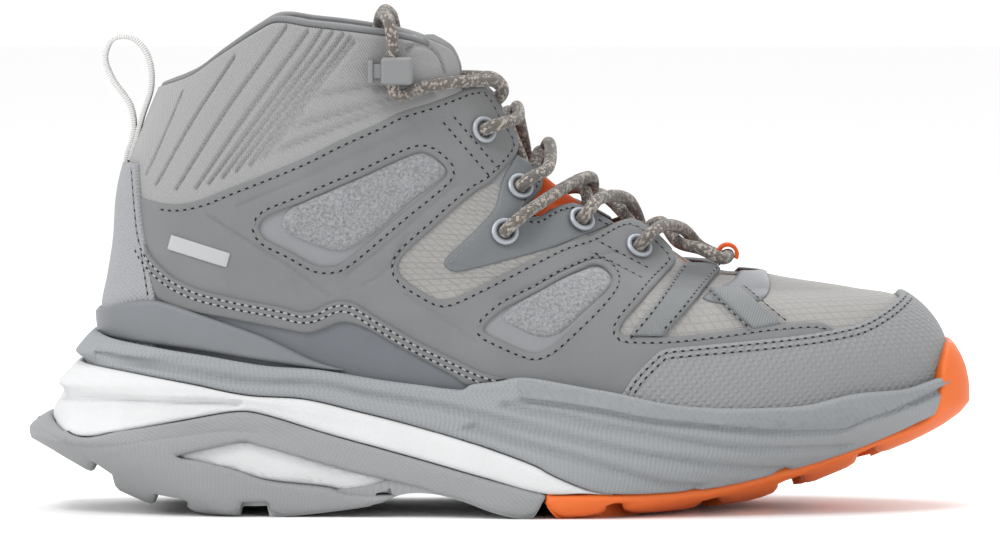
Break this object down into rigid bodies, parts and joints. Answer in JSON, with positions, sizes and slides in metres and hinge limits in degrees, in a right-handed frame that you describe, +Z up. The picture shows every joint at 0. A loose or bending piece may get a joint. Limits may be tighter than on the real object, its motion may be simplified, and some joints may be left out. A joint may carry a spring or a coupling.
{
  "type": "hiking boot",
  "caption": "Right mid-height lace-up hiking boot with cushioned two-part sole, toe bumper, quilted collar, felt windows, laced throat, cord lock and heel pull tab.",
  "frame": {"origin": "on the ground, under the middle of the boot's length and width", "axes": "+X to the toe, +Y to the inner (medial) side, +Z up"},
  "size_m": [0.3128, 0.1069, 0.167],
  "materials": {
    "rubber_grey": "matte rubber with a fine diagonal hatch",
    "rubber_orange": "matte orange rubber",
    "foam_white": "pebbled moulded foam",
    "foam_grey": "moulded foam with a fine cross hatch and a ribbed band",
    "tpu": "smooth moulded TPU, satin",
    "nubuck": "fine smooth nubuck",
    "microfibre": "smooth light microfibre",
    "rand": "smooth film-coated leather",
    "ripstop": "ripstop nylon, warm grey",
    "toe_weave": "coarse woven abrasion cloth",
    "collar_cloth": "ribbed knit, quilted",
    "felt": "mottled grey felt",
    "woven": "diagonal woven tape",
    "webbing": "grosgrain webbing",
    "webbing_light": "light grosgrain webbing",
    "lining": "soft mesh lining",
    "foam_inner": "open cell foam",
    "board": "fibre board",
    "orange_cloth": "orange textile",
    "lace": "round braided lace, taupe with light flecks",
    "eyelet": "satin anodised ring",
    "lock": "moulded plastic, satin",
    "tag": "blank heat pressed label",
    "steel": "spring steel"
  },
  "bodies": {
    "boot": {"lace": "lace", "lining": "lining", "quarter_medial": "nubuck", "quarter_lateral": "nubuck", "underlay_medial": "microfibre", "underlay_lateral": "microfibre", "midsole_upper": "foam_grey", "collar_textile": "collar_cloth", "vamp": "ripstop", "outsole_heel": "rubber_grey", "midsole_carrier": "foam_white", "collar_foam": "foam_inner", "lace_end_medial": "lace", "lace_end_lateral": "lace", "eyestay_medial": "tpu", "eyestay_lateral": "tpu", "heel_counter": "board", "outsole_forefoot": "rubber_orange", "backstay": "woven", "toe_cap": "toe_weave", "heel_clip": "tpu", "rand_lateral": "rand", "rand_medial": "rand", "collar_binding": "nubuck", "foxing_lateral": "nubuck", "throat_patch": "tpu", "toe_puff": "board", "foxing_medial": "nubuck", "lace_loop_tag": "orange_cloth", "eyelet_1_lateral": "eyelet", "eyelet_2_lateral": "eyelet", "eyelet_3_lateral": "eyelet", "eyelet_4_lateral": "eyelet", "eyelet_5_lateral": "eyelet", "eyelet_1_medial": "eyelet", "eyelet_2_medial": "eyelet", "eyelet_3_medial": "eyelet", "eyelet_4_medial": "eyelet", "eyelet_5_medial": "eyelet", "lasting_board": "board", "felt_upper_lateral": "felt", "felt_lower_medial": "felt", "felt_lower_lateral": "felt", "felt_upper_medial": "felt", "strap_rear_medial": "webbing", "strap_rear_lateral": "webbing", "label_tag": "tag", "shank": "steel", "strap_front_lateral": "webbing", "strap_front_medial": "webbing", "aglet_lateral": "tpu", "aglet_medial": "tpu"},
    "tongue": {"tongue": "orange_cloth"},
    "pull_tab": {"pull_tab": "webbing_light"},
    "footbed": {"footbed": "orange_cloth"},
    "lock_body": {"lock_body": "lock", "lock_spring": "steel"},
    "lock_button": {"lock_button": "lock"}
  },
  "joints": [
    {"name": "tongue_tilt", "type": "hinge", "parent": "boot", "child": "tongue", "pos_m": [0.085, 0, 0.072], "axis": [0, 1, 0], "range_deg": [-3, 0], "stiffness_Nm_per_rad": 2},
    {"name": "pull_tab_fold", "type": "hinge", "parent": "boot", "child": "pull_tab", "pos_m": [-0.1242, 0, 0.1176], "axis": [0, 1, 0], "range_deg": [-70, 0], "stiffness_Nm_per_rad": 0.01},
    {"name": "footbed_lift", "type": "hinge", "parent": "boot", "child": "footbed", "pos_m": [0.13, 0, 0.036], "axis": [0, 1, 0], "range_deg": [0, 3]},
    {"name": "cord_lock_slide", "type": "slide", "parent": "boot", "child": "lock_body", "axis": [0, 0, 1], "range_m": [0, 0.004]},
    {"name": "cord_lock_button", "type": "slide", "parent": "lock_body", "child": "lock_button", "axis": [1, 0, 0], "range_m": [0, 0.0018], "stiffness_N_per_m": 800, "deforming": ["lock_spring"]}
  ]
}
